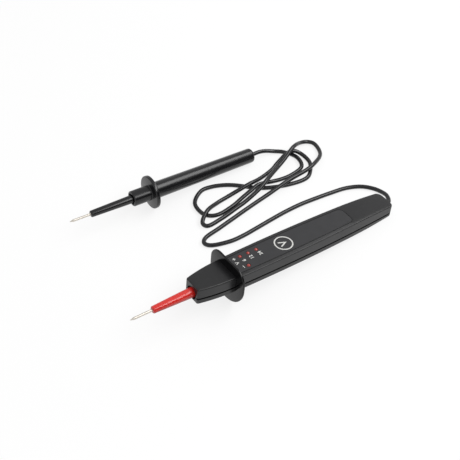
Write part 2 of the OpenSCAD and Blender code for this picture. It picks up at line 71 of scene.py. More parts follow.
def local_frame(mount_name, bare):
    """Millimetres along, across and above a probe's axis, turned to metres in the row frame."""
    mount = next(m for m in frame["record"]["mounts"] if m["name"] == mount_name)
    along = -Vector(mount["axis"]).normalized()
    point = Vector(mount["pos_m"]) - along * (PIN_POINT + bare) / 2 * MM
    across = Vector((0, 0, 1)).cross(along).normalized()
    turn = Matrix((along, across, along.cross(across))).transposed().to_4x4()
    return Matrix.Translation(point) @ turn @ Matrix.Scale(MM, 4)


TESTER = local_frame("test_pin", PIN_OUT)
PROBE = local_frame("ground_pin", GROUND_PIN_OUT)
print("tester's point in mm:", [round(1000 * c, 2) for c in TESTER.translation])

# %% [markdown]
# ## Camera
# The two probes are seen from the pins' side, half from above, at the distance of a person who looks
# down at a bench. A long lens keeps the slim bodies from spreading towards the front.

# %% Camera
HEADING = math.radians(35.35)    # the view's direction, counted from +Y towards +X
TILT = math.radians(44.95)       # how far it looks down
ROLL = math.radians(-0.57)       # a hand-levelled tripod is rarely quite level
DISTANCE = 0.72
AIM = Vector((0.00235, -0.0007, 0))
forward = Vector((math.sin(HEADING) * math.cos(TILT), math.cos(HEADING) * math.cos(TILT), -math.sin(TILT)))
lens = bpy.data.cameras.new("bench_camera")
lens.lens = 72.13
lens.sensor_width = 36
lens.clip_start, lens.clip_end = 0.05, 20
camera = bpy.data.objects.new("bench_camera", lens)
camera.location = AIM - forward * DISTANCE
camera.rotation_mode = "QUATERNION"
camera.rotation_quaternion = forward.to_track_quat("-Z", "Y") @ Quaternion((0, 0, 1), ROLL)
bpy.context.scene.collection.objects.link(camera)
bpy.context.scene.camera = camera
print("camera stands at", [round(c, 3) for c in camera.location])

# %% [markdown]
# ## Colours and nodes
# A colour is written as the hex value that a paint chart or a colour picker gives. Shaders work with
# linear light, so one function turns each value. Another adds one node with its settings and links;
# every material below is a few calls of it.

# %% Colour and node helpers
def linear(hex_colour):
    """The shader's colour of an sRGB hex value."""
    shares = [int(hex_colour[i:i + 2], 16) / 255 for i in (1, 3, 5)]
    return [s / 12.92 if s <= 0.04045 else ((s + 0.055) / 1.055) ** 2.4 for s in shares] + [1]


def add_node(tree, kind, inputs=None, **settings):
    """Adds a shader node. An input is a value, or another node's output, which is linked."""
    node = tree.nodes.new("ShaderNode" + kind)
    for name, value in settings.items():
        setattr(node, name, value)
    for name, value in (inputs or {}).items():
        if isinstance(value, bpy.types.NodeSocket):
            tree.links.new(value, node.inputs[name])
        else:
            node.inputs[name].default_value = value
    return node


def new_material(name, **surface):
    """A material with a principled surface; its own constants go straight on the shader's sockets."""
    material = bpy.data.materials.new(name)
    material.use_nodes = True
    tree = material.node_tree
    tree.nodes.clear()
    shader = add_node(tree, "BsdfPrincipled", surface)
    add_node(tree, "OutputMaterial", {"Surface": shader.outputs[0]})
    return material, tree, shader


def vary(tree, shader, tint, gloss=None, bump=None):
    """Feeds the surface's colour, roughness and normal from the nodes that vary them."""
    tree.links.new(tint.outputs["Result"], shader.inputs["Base Color"])
    for node, socket in ((gloss, "Roughness"), (bump, "Normal")):
        if node:
            tree.links.new(node.outputs[0], shader.inputs[socket])


# %% [markdown]
# ## Moulded plastics
# A pattern is only believable at its real size, so each is written as the size of one grain in
# millimetres, and Object coordinates, which are metres here, are scaled by its inverse. A moulded
# plastic shows three things: a grain from the tool's spark-eroded steel, a slow unevenness of gloss
# from cooling, and the handling marks that lie over both.

# %% Moulded plastic
def per_mm(size):
    """The scale of a noise on Object coordinates whose features are that many millimetres."""
    return 1 / (size * MM)


def moulded(name, colour, worn_colour, rough, rough_spread, grain_mm, grain_height, **surface):
    """Injection-moulded plastic: fine grain, slow changes of gloss, and faint handling marks."""
    material, tree, shader = new_material(name, **surface)
    place = add_node(tree, "TexCoord").outputs["Object"]
    grain = add_node(tree, "TexNoise", {"Vector": place, "Scale": per_mm(grain_mm), "Detail": 2.0})
    cooling = add_node(tree, "TexNoise", {"Vector": place, "Scale": per_mm(14), "Detail": 3.0})
    handling = add_node(tree, "TexNoise", {"Vector": place, "Scale": per_mm(3), "Detail": 6.0,
                                           "Roughness": 0.7})
    marks = add_node(tree, "MapRange", {"Value": handling.outputs[0], "From Min": 0.52, "From Max": 0.75,
                                        "To Min": 0.0, "To Max": 0.6})
    tint = add_node(tree, "Mix", {"Factor": marks.outputs[0], "A": linear(colour),
                                  "B": linear(worn_colour)}, data_type="RGBA")
    gloss = add_node(tree, "MapRange", {"Value": cooling.outputs[0], "From Min": 0.3, "From Max": 0.7,
                                        "To Min": rough - rough_spread, "To Max": rough + rough_spread})
    bump = add_node(tree, "Bump", {"Height": grain.outputs[0], "Strength": 0.5,
                                   "Distance": grain_height * MM})
    vary(tree, shader, tint, gloss, bump)
    print("made", name)
    return material


# ABS with a spark-eroded grain. It gives the eye a soft, even sheen that darkens into the grooves.
# The real grain is near 0.1 mm; it is drawn at 0.7 mm so that the render can hold it.
GRAINED_ABS = moulded("grained_abs_shell", "#151517", "#222225", 0.36, 0.04, 0.7, 0.02, IOR=1.51)
# ABS from a polished tool: the guard mirrors what stands round it, a little wavily.
POLISHED_ABS = moulded("polished_abs_guard", "#09090b", "#121214", 0.17, 0.03, 2.5, 0.008, IOR=1.5,
                       **{"Specular IOR Level": 0.3})
# Polypropylene of the second probe: a long soft highlight along the grip.
SATIN_PP = moulded("satin_polypropylene_grip", "#141416", "#1e1e21", 0.23, 0.03, 0.7, 0.003, IOR=1.5)
# Soft PVC of its sleeve, glossier than the grip behind it.
SLEEVE_PVC = moulded("black_pvc_sleeve", "#0f0f11", "#1b1b1e", 0.24, 0.03, 1.2, 0.006, IOR=1.52)
# Natural-rubber bush: dull, with a dusty bloom.
BUSH_RUBBER = moulded("rubber_bush", "#1a1a1a", "#2c2b2a", 0.62, 0.06, 0.5, 0.04, IOR=1.5)
# Dyed soft PVC: bright red that glows slightly at the edges, under a wet-looking gloss.
RED_PVC = moulded("red_pvc_sleeve", "#dd2a22", "#cc2420", 0.24, 0.03, 1.6, 0.006, IOR=1.52,
                  **{"Subsurface Weight": 0.25, "Subsurface Radius": (0.002, 0.0004, 0.0003),
                     "Subsurface Scale": 0.6, "Coat Weight": 0.3, "Coat Roughness": 0.12})

# %% [markdown]
# ## Cord: its route, then its tube
# The cord leaves the second probe straight, lies on the bench in three loose loops, passes over itself
# in low humps, and ends in the bush at the tester's tail after one tight turn. Its route is a list of
# points in millimetres, the same ones that the CAD tube follows. A curve that passes through every
# point, with its speed set by the distance between them, joins the points without kinks.

# %% The cord's route
CORD_D = 3.5
CORD_START = 171.0       # where the cord's tube begins, along the second probe
BUSH_END = 237.65        # the bush's end, along the tester
CORD_EXIT_H = 0.5        # height of the bush over the pin's axis
START_LEN = 1.5 * CORD_D     # the straight stretch at the second probe
TURN_LEN = 0.8 * CORD_D      # the stretch between the bush and the tight turn
TURN_SIDE = 0.3          # how far that stretch leans to the side, as a share of its length
LAY, OVER = 1.8, 5.4     # height of the cord's middle on the bench, and over another strand
FREE_ROUTE = [
    (80, 55, 4), (87, 52, 2.2), (92.5, 47.5, LAY), (97.7, 35.5, LAY), (93.5, 23.5, LAY),
    (80, 20.2, LAY), (70, 21, LAY), (62, 22.8, 2.2), (48, 23.5, 5.5), (40, 22.3, 4.6), (31, 21.2, 2.8),
    (20, 18.8, LAY), (5, 17.2, LAY), (-1.5, 19.6, LAY), (-5.3, 25, LAY), (-3.8, 39, LAY),
    (9, 48.2, LAY), (18, 47.3, LAY), (27, 43.3, LAY), (34, 38.2, LAY), (46, 25.8, LAY), (52, 20.8, LAY),
    (67, 13.5, LAY), (84, 9.6, LAY), (91, 11, LAY), (101.5, 22, LAY), (103.5, 29.5, LAY),
    (102.4, 36, 3), (99, 39.7, 5), (94, 41.3, OVER), (80, 38.6, 2.4), (71, 35, LAY), (53, 30, 3.8),
    (43, 28.6, OVER), (21, 29.6, 2), (11, 28.3, 2.4), (-3.7, 22.4, OVER), (-12, 16, 2.3),
    (-10.6, 12, LAY), (3, 12.1, LAY), (21, 15.1, LAY), (30, 16.2, 2.6), (47, 18.3, 7.2),
    (55, 21.5, 8.2), (69, 28.7, 6.2), (77, 32.4, 5.6), (85, 35.4, 6.8), (98, 40.8, 9.1),
    (111.5, 46.7, 3.4), (117.5, 45.7, 2), (120.8, 41, LAY), (116.5, 27, 2), (101, 16.9, OVER),
    (92, 14.9, 5.2), (80, 14.2, 5), (69, 13, OVER), (49, 11.8, 2.8), (37, 10.9, LAY), (23, 8.8, LAY),
    (9, 6.5, LAY), (-4, 4.4, LAY), (-19.8, 1.6, LAY), (-23, -2.2, LAY), (-20.8, -6.6, LAY),
    (-6, -12.2, LAY), (5, -13.2, LAY), (19, -12.7, LAY), (34, -11.9, LAY), (49, -11.4, LAY),
    (64, -11.9, LAY), (78, -13.6, LAY), (92, -15.8, LAY), (106, -18.8, LAY), (117, -24.6, LAY),
    (123.5, -32.5, LAY), (125.4, -40, 2.6), (124.6, -46.5, 4)]

probe_exit = PROBE @ Vector((CORD_START, 0, 0))
tester_exit = TESTER @ Vector((BUSH_END, 0, CORD_EXIT_H))
probe_along = PROBE.to_3x3() @ Vector((1, 0, 0))
tester_along = TESTER.to_3x3() @ Vector((1, 0, 0))
route = [probe_exit, probe_exit + START_LEN * probe_along]
route += [Vector(point) * MM for point in FREE_ROUTE]
route += [tester_exit + TURN_LEN * (tester_along + Vector((0, TURN_SIDE, 0)) * MM), tester_exit]


def through(points, steps):
    """A smooth line through all the points, with that many steps from one to the next."""
    padded = [2 * points[0] - points[1]] + points + [2 * points[-1] - points[-2]]
    line = []
    for before, here, there, after in zip(padded, padded[1:], padded[2:], padded[3:]):
        a, b, c = (math.sqrt((q - p).length) for p, q in ((before, here), (here, there), (there, after)))
        leave = b * ((here - before) / a - (there - before) / (a + b) + (there - here) / b)
        arrive = b * ((there - here) / b - (after - here) / (b + c) + (after - there) / c)
        for step in range(steps):
            t = step / steps
            line.append((2 * t**3 - 3 * t**2 + 1) * here + (t**3 - 2 * t**2 + t) * leave
                        + (3 * t**2 - 2 * t**3) * there + (t**3 - t**2) * arrive)
    return line + [points[-1]]


SPAN_STEPS = 6           # steps of the smooth line from one point to the next
path = through(route, SPAN_STEPS)

# %% [markdown]
# The tube itself could be a curve with a bevel. A mesh is used, because each ring can remember how far
# along the cord it lies: the sheath's fine drawing lines follow that. One ring is extruded from step to
# step, and turned no more than the route turns.

# %% The cord's tube and its material
def cord_sheath():
    """Extruded flexible PVC. It gives the eye a narrow grey gloss, broken by faint drawing lines."""
    material, tree, shader = new_material("flexible_pvc_sheath", IOR=1.52)
    along = add_node(tree, "Attribute", attribute_name="along").outputs["Fac"]
    place = add_node(tree, "TexCoord").outputs["Object"]
    soft = add_node(tree, "TexNoise", {"W": along, "Scale": 1 / 9, "Detail": 3.0}, noise_dimensions="1D")
    dust = add_node(tree, "TexNoise", {"Vector": place, "Scale": per_mm(1.2), "Detail": 5.0})
    tint = add_node(tree, "Mix", {"Factor": dust.outputs[0], "A": linear("#101012"),
                                  "B": linear("#1c1c1f")}, data_type="RGBA")
    gloss = add_node(tree, "MapRange", {"Value": soft.outputs[0], "From Min": 0.3, "From Max": 0.7,
                                        "To Min": 0.18, "To Max": 0.25})
    bump = add_node(tree, "Bump", {"Height": dust.outputs[0], "Strength": 0.3, "Distance": 0.01 * MM})
    vary(tree, shader, tint, gloss, bump)
    return material


def as_object(bm, name):
    """Turns a bmesh to an object in the scene."""
    mesh = bpy.data.meshes.new(name)
    bm.to_mesh(mesh)
    bm.free()
    thing = bpy.data.objects.new(name, mesh)
    bpy.context.scene.collection.objects.link(thing)
    return thing


def finish_piece(bm, name, material, body, replaced, place=Matrix.Identity(4), sharp=32,
                 merge=0.0005, even=False):
    """Lays a finished bmesh in its place as an object at the origin, smooth but for its sharp edges."""
    bmesh.ops.remove_doubles(bm, verts=bm.verts, dist=merge)
    bmesh.ops.recalc_face_normals(bm, faces=bm.faces)
    bm.transform(place)
    piece = as_object(bm, name)
    mesh = piece.data
    mesh.polygons.foreach_set("use_smooth", [True] * len(mesh.polygons))
    mesh.set_sharp_from_angle(angle=math.radians(sharp))
    mesh.materials.append(material)
    if body:
        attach(piece, body)
    if replaced:
        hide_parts(*replaced)
    if even:
        piece.modifiers.new("even_shading", "WEIGHTED_NORMAL").keep_sharp = True
    print(name, "has", sum(len(p.vertices) - 2 for p in mesh.polygons), "triangles")
    return piece


def push_out(bm, face, first):
    """Extrudes one face and gives back the new one. Past the first step the old face is taken away."""
    made = bmesh.ops.extrude_face_region(bm, geom=[face])["geom"]
    if not first:
        bmesh.ops.delete(bm, geom=[face], context="FACES_ONLY")
    return next(part for part in made if isinstance(part, bmesh.types.BMFace))


def tube_along(line, radius, sides):
    """A closed tube round a line in metres; its rings carry their distance along it as an attribute."""
    bm = bmesh.new()
    along = bm.verts.layers.float.new("along")
    bmesh.ops.create_circle(bm, segments=sides, radius=radius, cap_ends=True)
    heading = Vector((0, 0, 1))
    frame_here = Matrix.Identity(4)
    face, walked = bm.faces[:][0], 0.0
    for i, point in enumerate(line):
        ahead = (line[min(i + 1, len(line) - 1)] - line[max(i - 1, 0)]).normalized()
        aligned = heading.rotation_difference(ahead).to_matrix().to_4x4() @ frame_here.to_3x3().to_4x4()
        frame_there = Matrix.Translation(point) @ aligned
        if i:
            walked += (point - line[i - 1]).length
            face = push_out(bm, face, first=i == 1)
        bmesh.ops.transform(bm, matrix=frame_there @ frame_here.inverted(), verts=face.verts)
        for vert in face.verts:
            vert[along] = walked / MM
        heading, frame_here = ahead, frame_there
    return bm


CORD_SHEATH = cord_sheath()
CORD_SIDES = 14
cord_mesh = tube_along(path, CORD_D / 2 * MM, CORD_SIDES)
cord = finish_piece(cord_mesh, "test_cord_sheath", CORD_SHEATH, None, ["test_cord"],
                    sharp=60, merge=1e-7)
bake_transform(cord)

# %% [markdown]
# ## Turned pieces
# Pins, sleeves, the bush and the whole second probe are round about one axis, so each is an outline
# that is spun. The outline is a few points along and out from the axis. Its corners are rounded first,
# while they are still only points on a wire: that is quicker and cleaner than bevelling the rings.

# %% A spun outline with rounded corners
def turned(outline, rounded=(), closed=False, sides=64):
    """Spins an outline of (along, radius) points. rounded lists (point's number, radius of rounding)."""
    bm = bmesh.new()
    verts = [bm.verts.new((along, 0, radius)) for along, radius in outline]
    pairs = list(zip(verts, verts[1:])) + ([(verts[-1], verts[0])] if closed else [])
    for pair in pairs:
        bm.edges.new(pair)
    for number, radius in rounded:
        bmesh.ops.bevel(bm, geom=[verts[number]], offset=radius, offset_type="OFFSET", segments=4,
                        profile=0.5, affect="VERTICES", material=-1, clamp_overlap=True)
    bmesh.ops.spin(bm, geom=bm.edges[:], axis=(1, 0, 0), cent=(0, 0, 0), steps=sides,
                   angle=2 * math.pi, use_merge=True)
    return bm


# %% [markdown]
# ## The pins
# Each pin is a turned steel wire with a ground point, plated with nickel. Plating follows the fine
# marks of the lathe, so the highlight is soft and not a mirror's. The pins could each be a cylinder
# and a cone; one spun outline has no seam between them. The metal keeps the default index of refraction.

# %% Nickel plating, and the two pins
def turned_nickel():
    """Nickel over turned steel. It gives the eye a soft pale sheen, a little cloudy along the pin."""
    material, tree, shader = new_material("bright_nickel_over_turned_steel", Metallic=1.0)
    place = add_node(tree, "TexCoord").outputs["Object"]
    rings = add_node(tree, "TexNoise", {"Vector": place, "Scale": per_mm(0.8), "Detail": 4.0,
                                        "Roughness": 0.7})
    wear = add_node(tree, "TexNoise", {"Vector": place, "Scale": per_mm(4), "Detail": 3.0})
    tint = add_node(tree, "Mix", {"Factor": wear.outputs[0], "A": linear("#e6e1d8"),
                                  "B": linear("#cfc8be")}, data_type="RGBA")
    gloss = add_node(tree, "MapRange", {"Value": rings.outputs[0], "From Min": 0.3, "From Max": 0.7,
                                        "To Min": 0.40, "To Max": 0.5})
    bump = add_node(tree, "Bump", {"Height": rings.outputs[0], "Strength": 0.2, "Distance": 0.003 * MM})
    vary(tree, shader, tint, gloss, bump)
    return material


PIN_R, PIN_ROOT_R, PIN_FLAT = 1.0, 0.8, 0.15
NICKEL = turned_nickel()


def pin(name, out, back, body, node, place):
    """A pin from its blunt point to its root, with a soft step where the ground point begins."""
    outline = [(0, 0), (0, PIN_FLAT), (PIN_POINT, PIN_R), (out, PIN_R), (out, PIN_ROOT_R),
               (back, PIN_ROOT_R), (back, 0)]
    bm = turned(outline, rounded=[(2, 0.5), (1, 0.1)], sides=48)
    return finish_piece(bm, name, NICKEL, body, [node], place, sharp=40)


BODY_S = 81.75           # where the tester's body begins, behind the guard
END_S = 235.15           # the tester's end
BOARD_S = BODY_S + 5
PIN_ON_BOARD = 8         # how far the pin's root reaches onto the board
pin("tester_pin", PIN_OUT, BOARD_S + PIN_ON_BOARD, "tester", "test_pin", TESTER)

# %% [markdown]
# ## The red sleeve
# Soft PVC is drawn over the pin, so its front is a small round lip, and it swells towards the nose.
# It runs on into the shell, where a collar keeps it from being pulled out.

# %% Red sleeve
NOSE_S = 50.0            # the nose's front
COLLAR_AT, COLLAR_T, COLLAR_R = 3.0, 2.4, 5.0
TIP_R, RED_BACK_R, TIP_ROUNDING = 2.7, 3.9, 1.0
collar_s = NOSE_S + COLLAR_AT
red_outline = [(PIN_OUT, PIN_ROOT_R), (PIN_OUT, TIP_R), (NOSE_S, RED_BACK_R), (collar_s, RED_BACK_R),
               (collar_s, COLLAR_R), (collar_s + COLLAR_T, COLLAR_R), (collar_s + COLLAR_T, PIN_ROOT_R)]
finish_piece(turned(red_outline, rounded=[(1, TIP_ROUNDING)], closed=True), "red_test_sleeve", RED_PVC,
             "tester", ["test_sleeve"], TESTER)

# %% [markdown]
# ## The second probe
# A moulded handle: a slim grip, a round flange that keeps the fingers back, and a boss that grips the
# black sleeve in a shallow socket. It is one outline, with the edges rounded as the tool's are, and
# the handle is hollow, so that the cord's joint has room.

# %% Handle, sleeve, pin of the second probe
BOSS_S, FLANGE_S, GRIP_S = 53.6, 69.3, 72.4
BOSS_R, FLANGE_R = 6.3, 13.6
GRIP_FRONT_R, GRIP_BACK_R = 6.8, 6.1
HOLLOW_R, SOCKET_R, SOCKET_DEPTH = 4.0, 4.7, 1.2
CORD_HOLE_R = CORD_D / 2 + 0.05
GRIP_END, END_WALL = 168.2, 6.0
handle_outline = [
    (BOSS_S, SOCKET_R), (BOSS_S, BOSS_R), (FLANGE_S, BOSS_R), (FLANGE_S, FLANGE_R), (GRIP_S, FLANGE_R),
    (GRIP_S, GRIP_FRONT_R), (GRIP_END, GRIP_BACK_R), (GRIP_END, CORD_HOLE_R),
    (GRIP_END - END_WALL, CORD_HOLE_R), (GRIP_END - END_WALL, HOLLOW_R),
    (BOSS_S + SOCKET_DEPTH, HOLLOW_R), (BOSS_S + SOCKET_DEPTH, SOCKET_R)]
handle_rounding = [(0, 0.25), (1, 0.9), (2, 0.5), (3, 0.7), (4, 0.7), (5, 0.5), (6, 2.2), (7, 0.4)]
finish_piece(turned(handle_outline, handle_rounding, closed=True, sides=96), "probe_grip", SATIN_PP,
             "probe", ["probe_handle"], PROBE)

PLUG_S = BOSS_S + SOCKET_DEPTH
CUP_S = PLUG_S + 14
BLACK_BACK_R, PIN_IN_CUP = 3.4, 4
black_outline = [(GROUND_PIN_OUT, PIN_ROOT_R), (GROUND_PIN_OUT, TIP_R), (BOSS_S, BLACK_BACK_R),
                 (PLUG_S, BLACK_BACK_R), (PLUG_S, HOLLOW_R), (CUP_S, HOLLOW_R), (CUP_S, PIN_ROOT_R)]
finish_piece(turned(black_outline, rounded=[(1, TIP_ROUNDING)], closed=True), "black_probe_sleeve",
             SLEEVE_PVC, "probe", ["probe_sleeve"], PROBE)
pin("second_probe_pin", GROUND_PIN_OUT, CUP_S + PIN_IN_CUP, "probe", "probe_pin", PROBE)

# %% [markdown]
# ## The bush
# The cord leaves the tester through a short rubber bush. Its lip is rounded, so that the cord can turn
# sharply there without being cut, and a collar sits in the shell.

# %% Bush
BUSH_R, BUSH_COLLAR_R, BUSH_COLLAR_T = 3.2, 4.0, 2.4
bush_s = END_S - COLLAR_AT
bush_outline = [(bush_s - BUSH_COLLAR_T, CORD_D / 2), (bush_s - BUSH_COLLAR_T, BUSH_COLLAR_R),
                (bush_s, BUSH_COLLAR_R), (bush_s, BUSH_R), (BUSH_END, BUSH_R), (BUSH_END, CORD_D / 2)]
finish_piece(turned(bush_outline, rounded=[(4, 0.8), (5, 0.3)], closed=True), "rubber_cord_bush",
             BUSH_RUBBER, "tester", ["cord_bush"],
             TESTER @ Matrix.Translation((0, 0, CORD_EXIT_H)))

# %% [markdown]
# ## The two half shells
# The case could be carved from a box by subdivision, but its edges are crisp and its sides follow a
# known taper. So a cross-section is drawn once as a face and extruded along the tester, and at each
# station its points move out, in, up or down as the case does there: a loft made by extrusion. A
# number on every point says which one it is. Then the hollow and the openings are cut.

# %% Loft and cut
def loft(stations):
    """Extrudes a cross-section from station to station: a list of (along, [(across, above), ...])."""
    bm = bmesh.new()
    number = bm.verts.layers.int.new("number")
    along, section = stations[0]
    for i, (across, above) in enumerate(section):
        bm.verts.new((along, across, above))[number] = i
    face = bm.faces.new(bm.verts)
    for i, (along, section) in enumerate(stations[1:]):
        face = push_out(bm, face, first=i == 0)
        for vert in face.verts:
            vert.co = (along, *section[vert[number]])
    bmesh.ops.recalc_face_normals(bm, faces=bm.faces)
    return bm


def cut(bm, tools, operation="DIFFERENCE"):
    """Takes each tool out of a closed mesh in turn, and gives back the mesh that is left."""
    work = as_object(bm, "work")
    for tool_mesh in tools:
        tool = as_object(tool_mesh, "tool")
        boolean = work.modifiers.new("cut", "BOOLEAN")
        boolean.object, boolean.solver, boolean.operation = tool, "EXACT", operation
        seen = work.evaluated_get(bpy.context.evaluated_depsgraph_get())
        result = bpy.data.meshes.new_from_object(seen)
        work.modifiers.clear()
        old, work.data = work.data, result
        bpy.data.meshes.remove(old)
        bpy.data.meshes.remove(tool.data)
    left = bmesh.new()
    left.from_mesh(work.data)
    bpy.data.meshes.remove(work.data)
    return left


def rod(length, radius, sides):
    """A plain round rod, upright about the middle."""
    bm = bmesh.new()
    bmesh.ops.create_cone(bm, cap_ends=True, segments=sides, radius1=radius, radius2=radius, depth=length)
    return bm


def peg(start, end, radius, across=0.0, above=0.0, sides=48):
    """A rod along the tester, from one place to another."""
    bm = rod(end - start, radius, sides)
    bmesh.ops.rotate(bm, verts=bm.verts, matrix=Matrix.Rotation(math.pi / 2, 3, "Y"))
    bmesh.ops.translate(bm, verts=bm.verts, vec=(start + (end - start) / 2, across, above))
    return bm


def post(foot, head, radius, along, across, sides=48):
    """A rod that stands upright, from one height to another."""
    bm = rod(head - foot, radius, sides)
    bmesh.ops.translate(bm, verts=bm.verts, vec=(along, across, foot + (head - foot) / 2))
    return bm


# %% [markdown]
# The case's outline follows a few rules: the nose widens evenly to the guard, the body swells a little
# and narrows to a tail with round corners, the top drops there and the underside rises. Between the
# halves runs a shadow gap, which is why the two never look like one block.

# %% Form of the case
GUARD_S = 80.0
NOSE_W, NECK_W, BODY_W, TAIL_W = 15.0, 22.6, 25.2, 18.6
BODY_LEN, BELLY_AT, TAPER_LEN, TAIL_CORNER_R = 153.4, 48.0, 41.0, 3.6
TOP_H, BOTTOM_H, PARTING_H = 8.0, 6.1, 0.3
SHOULDER, NOSE_SHOULDER, RIDGE = (2.8, 0.5), (0.8, 0.5), 0.7
TAIL_DROP, TAIL_RISE = 1.8, 1.9
GROOVE_H, GROOVE_DEPTH, BOTTOM_BEVEL = 1.4, 1.3, 1.0
NOSE_BULGE = 0.9
WALL, NOSE_BEVEL, END_BEVEL = 1.8, 1.0, 0.8


def taper(s):
    """How far the tail's narrowing has come at a place: 0 before it starts, 1 at the end."""
    return max(0.0, (s - END_S) / TAPER_LEN + 1) ** 2


def high(s):
    """The height of the top."""
    return TOP_H - TAIL_DROP * taper(s)


def low(s):
    """The height of the underside."""
    return -BOTTOM_H + TAIL_RISE * taper(s)


def nose_half(s):
    """Half the nose's width, with its slight swell."""
    part = min(1.0, (s - NOSE_S) / (GUARD_S - NOSE_S))
    return NOSE_W / 2 + (NECK_W - NOSE_W) / 2 * part + NOSE_BULGE * 4 * part * (1 - part)


def body_half(s):
    """Half the body's width, with the tail's round corner."""
    belly = BODY_S + BELLY_AT
    into_corner = max(0.0, s - END_S + TAIL_CORNER_R)
    corner = TAIL_CORNER_R - math.sqrt(max(0.0, TAIL_CORNER_R ** 2 - into_corner ** 2))
    return BODY_W / 2 - (BODY_W - TAIL_W) / 2 * ((s - belly) / (END_S - belly)) ** 2 - corner


def upper_section(w, top, shoulder=SHOULDER):
    """Right half of the upper shell's section: up the side, round the ridge, up the slope to the top."""
    wide, deep = shoulder
    ridge = Vector((w, top - deep))
    slope = Vector((-wide, deep)).normalized() * min(RIDGE, wide)
    start, end = ridge - Vector((0, RIDGE)), ridge + slope
    rounding = [start * (1 - t) ** 2 + 2 * ridge * t * (1 - t) + end * t ** 2 for t in (0, 0.3, 0.7, 1)]
    return [(w, -PARTING_H)] + [tuple(point) for point in rounding] + [(w - wide - 0.1, top)]


def nose_section(w, top):
    """The upper section at the nose, where the slope beside the ridge is narrower."""
    return upper_section(w, top, NOSE_SHOULDER)


def lower_section(w, bottom):
    """Right half of the lower shell's section, from the underside's bevel to the shadow gap."""
    return [(w - BOTTOM_BEVEL, bottom), (w, bottom + BOTTOM_BEVEL), (w, -PARTING_H - GROOVE_H),
            (w - GROOVE_DEPTH, -PARTING_H - GROOVE_H), (w - GROOVE_DEPTH, -PARTING_H)]


def both_sides(half):
    """A whole section from its right half."""
    return half + [(-across, above) for across, above in reversed(half)]


# The places along the tester, with how far the section is drawn in there to round the front and end
ROUND_STEPS = [math.radians(a) for a in (90, 60, 30, 0)]
nose_places = [(NOSE_S + NOSE_BEVEL * (1 - math.sin(a)), NOSE_BEVEL * (1 - math.cos(a)))
               for a in ROUND_STEPS]
nose_places += [(NOSE_S + NOSE_BEVEL + (GUARD_S - NOSE_S - NOSE_BEVEL) * i / 10, 0)
                for i in range(1, 11)]
nose_places += [(BODY_S, 0)]
straight = BODY_LEN - TAIL_CORNER_R
body_places = [(BODY_S + straight * i / 30, 0) for i in range(31)]
body_places += [(END_S - TAIL_CORNER_R * (1 - math.sin(math.radians(a))), 0)
                for a in (15, 30, 45, 58, 68)]
body_places += [(END_S - END_BEVEL * (1 - math.sin(a)) * 0.4, END_BEVEL * (1 - math.cos(a)))
                for a in reversed(ROUND_STEPS[:3])]


def shell(at_nose, at_body, edge, sign):
    """One half shell's outer form. sign is +1 where drawing in lowers the edge, -1 where it lifts it."""
    stations = [(s, both_sides(at_nose(nose_half(s) - d, edge(s) - sign * d))) for s, d in nose_places]
    stations += [(s, both_sides(at_body(body_half(s) - d, edge(s) - sign * d))) for s, d in body_places]
    return loft(stations)


upper_form = shell(nose_section, upper_section, high, 1)
lower_form = shell(lower_section, lower_section, low, -1)
print("the case's halves have", len(upper_form.faces), "and", len(lower_form.faces), "faces")

# %% [markdown]
# ### What is cut out of the halves
# The hollow for the board, the socket round the sleeve, the bush's hole, four small holes for the
# lamps, and the shallow pocket that the label lies in. The gap round a real label is about 0.1 mm;
# it is drawn at 0.4 mm so that its dark line can show.

# %% Cut the halves
CAVITY_S, CAVITY_END_S = NOSE_S + 10, END_S - 8
LABEL_S, LABEL_LEN, LABEL_T, LABEL_CORNER_R = BODY_S + 3, 109.0, 0.25, 4.0
LABEL_MARGIN, LABEL_GAP, POCKET_DEPTH = 0.6, 0.4, 0.55
LED_AT, LED_PITCH, LED_SIDE, LED_R = 13.4, 7.3, 5.3, 1.5
LAMPS = {"led_6v": (0, 1), "led_12v": (1, 1), "led_24v": (2, 1), "led_polarity": (0, -1)}
SOCKET_R_NOSE, SOCKET_DEPTH_NOSE = 5.2, 2.0
SLACK = 0.05


def hollow(top, bottom):
    """The case's hollow between two heights, a wall's thickness inside its outline."""
    places = [(s, nose_half(s)) for s in (CAVITY_S, GUARD_S, BODY_S + WALL)]
    places += [(s, body_half(s)) for s in
               (BODY_S + WALL + 0.01 + (CAVITY_END_S - BODY_S - WALL) * i / 12 for i in range(13))]
    return loft([(s, both_sides([(w - WALL, bottom(s)), (w - WALL, top(s))])) for s, w in places])


def label_plate(grow, low_v, high_v):
    """The label's outline, which follows the body's edge and has round rear corners, as a plate."""
    bm = bmesh.new()
    end = LABEL_S + LABEL_LEN

    def half_width(s):
        return body_half(s) - SHOULDER[0] - LABEL_MARGIN + grow
    straight_part = [LABEL_S - grow + (LABEL_LEN - LABEL_CORNER_R) * i / 10 for i in range(11)]
    right = [(s, half_width(s)) for s in straight_part]
    r = LABEL_CORNER_R + grow
    centre = (end - LABEL_CORNER_R, half_width(end) - r)
    right += [(centre[0] + r * math.sin(a), centre[1] + r * math.cos(a))
              for a in (math.radians(9 * k) for k in range(1, 11))]
    points = right + [(s, -w) for s, w in reversed(right)]
    face = bm.faces.new([bm.verts.new((s, w, low_v)) for s, w in points])
    made = bmesh.ops.extrude_face_region(bm, geom=[face])["geom"]
    raised = [part for part in made if isinstance(part, bmesh.types.BMVert)]
    bmesh.ops.translate(bm, verts=raised, vec=(0, 0, high_v - low_v))
    bmesh.ops.recalc_face_normals(bm, faces=bm.faces)
    return bm


def lamp_place(lamp):
    """Where a lamp stands, along and across the tester."""
    step, side = LAMPS[lamp]
    return BODY_S + LED_AT + LED_PITCH * step, LED_SIDE * side


def lamp_holes(low_v):
    """One upright rod for each lamp, from that height to above the face."""
    return [post(low_v, TOP_H + 2, LED_R + SLACK, *lamp_place(lamp), sides=32) for lamp in LAMPS]


